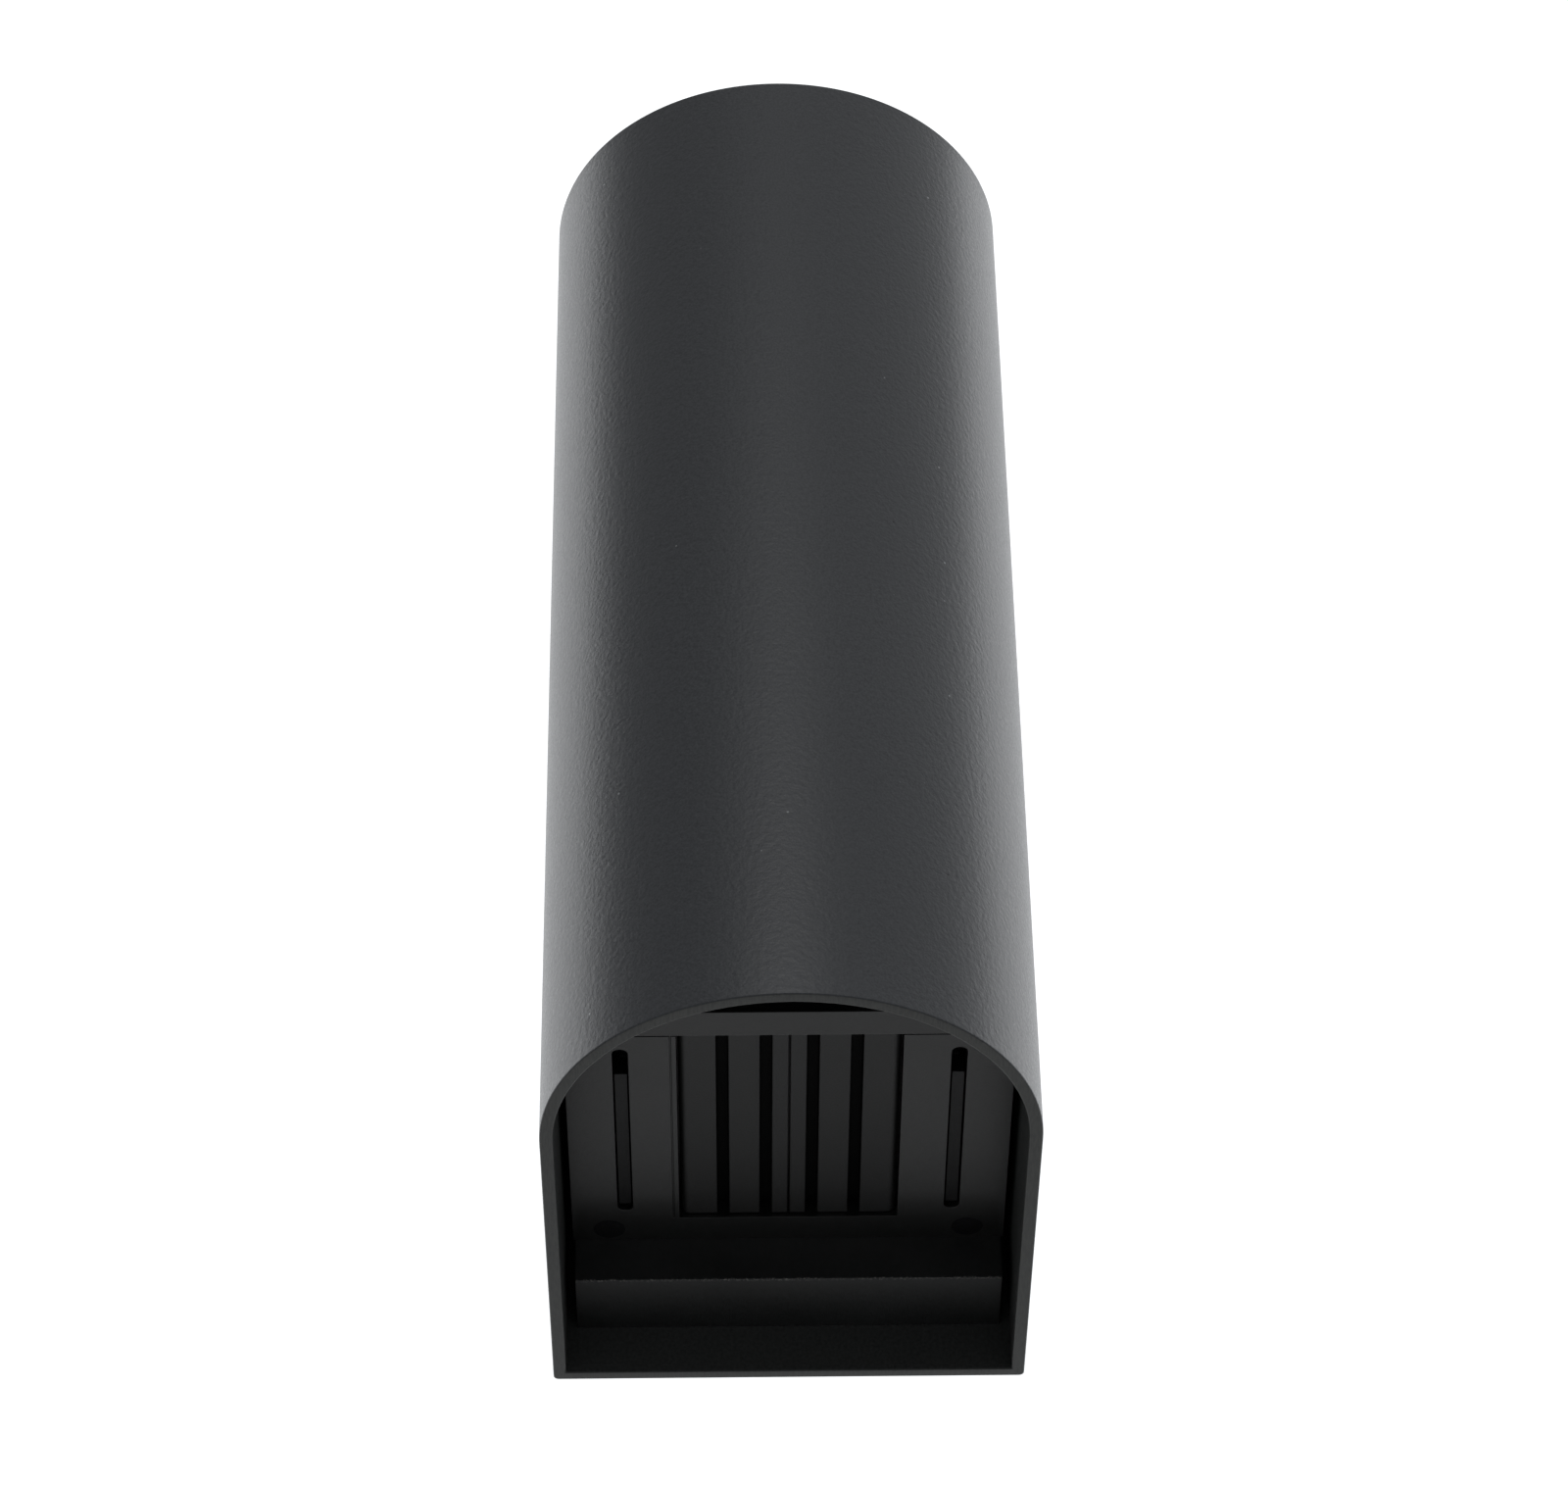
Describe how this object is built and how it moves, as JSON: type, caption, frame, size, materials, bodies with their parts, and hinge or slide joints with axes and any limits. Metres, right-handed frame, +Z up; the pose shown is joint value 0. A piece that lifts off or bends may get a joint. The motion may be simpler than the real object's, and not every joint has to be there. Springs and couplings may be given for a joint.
{
  "type": "tube wall light",
  "caption": "Up-and-down wall light: D-section aluminium tube open at both ends, over a wall base, with a finned lamp core and hinged beam flaps behind each mouth.",
  "frame": {"origin": "middle of the flat back, on the wall", "axes": "+X to the right seen from the room, +Y into the wall, +Z up along the tube"},
  "size_m": [0.09, 0.125, 0.225],
  "materials": {
    "shell_powder_coat": "fine matt charcoal powder coat on extruded aluminium",
    "base_black": "matt black paint on aluminium, worn bare along the sawn edge",
    "frame_black": "satin black paint on aluminium",
    "sink_black": "black anodised",
    "flap_black": "satin black paint on aluminium",
    "bare_aluminium": "mill finish",
    "bright_aluminium": "polished",
    "steel": "zinc plated",
    "black_steel": "black oxide",
    "rubber": "matt",
    "clear_glass": "clear",
    "board_white": "white solder mask",
    "phosphor": "yellow phosphor",
    "terminal_plastic": "natural polyamide",
    "driver_plastic": "moulded polycarbonate"
  },
  "bodies": {
    "lamp": {"base_box": "base_black", "board_screws_lower": "steel", "board_screws_upper": "steel", "cable_gland": "rubber", "core_cover": "frame_black", "core_screws": "steel", "cover_screws": "black_steel", "driver_screws": "steel", "earth_screw": "steel", "end_frame_lower": "frame_black", "end_frame_screws_lower": "black_steel", "end_frame_screws_upper": "black_steel", "end_frame_upper": "frame_black", "flap_pin_lower_left": "steel", "flap_pin_lower_right": "steel", "flap_pin_upper_left": "steel", "flap_pin_upper_right": "steel", "glass_gasket_lower": "rubber", "glass_gasket_upper": "rubber", "heat_sink_left": "sink_black", "heat_sink_right": "sink_black", "lamp_core": "bare_aluminium", "lamp_head_lower": "bare_aluminium", "lamp_head_upper": "bare_aluminium", "led_board_lower": "board_white", "led_board_upper": "board_white", "led_driver": "driver_plastic", "led_emitter_lower": "phosphor", "led_emitter_upper": "phosphor", "lock_ears": "bare_aluminium", "lock_screws": "black_steel", "reflector_lower": "bright_aluminium", "reflector_upper": "bright_aluminium", "sink_screws": "black_steel", "terminal_block": "terminal_plastic", "terminal_screws": "steel", "tube_shell": "shell_powder_coat", "wall_plate": "bare_aluminium", "wall_seal": "rubber", "window_glass_lower": "clear_glass", "window_glass_upper": "clear_glass"},
    "flap_lower_left": {"beam_flap_lower_left": "flap_black"},
    "flap_lower_right": {"beam_flap_lower_right": "flap_black"},
    "flap_upper_left": {"beam_flap_upper_left": "flap_black"},
    "flap_upper_right": {"beam_flap_upper_right": "flap_black"}
  },
  "joints": [
    {"name": "flap_hinge_lower_left", "type": "hinge", "parent": "lamp", "child": "flap_lower_left", "pos_m": [-0.01855, -0.0562, -0.0907], "axis": [0, 1, 0], "range_deg": [0, 85]},
    {"name": "flap_hinge_lower_right", "type": "hinge", "parent": "lamp", "child": "flap_lower_right", "pos_m": [0.01855, -0.0562, -0.0907], "axis": [0, -1, 0], "range_deg": [0, 85]},
    {"name": "flap_hinge_upper_left", "type": "hinge", "parent": "lamp", "child": "flap_upper_left", "pos_m": [-0.01855, -0.0562, 0.0907], "axis": [0, -1, 0], "range_deg": [0, 85]},
    {"name": "flap_hinge_upper_right", "type": "hinge", "parent": "lamp", "child": "flap_upper_right", "pos_m": [0.01855, -0.0562, 0.0907], "axis": [0, 1, 0], "range_deg": [0, 85]}
  ]
}
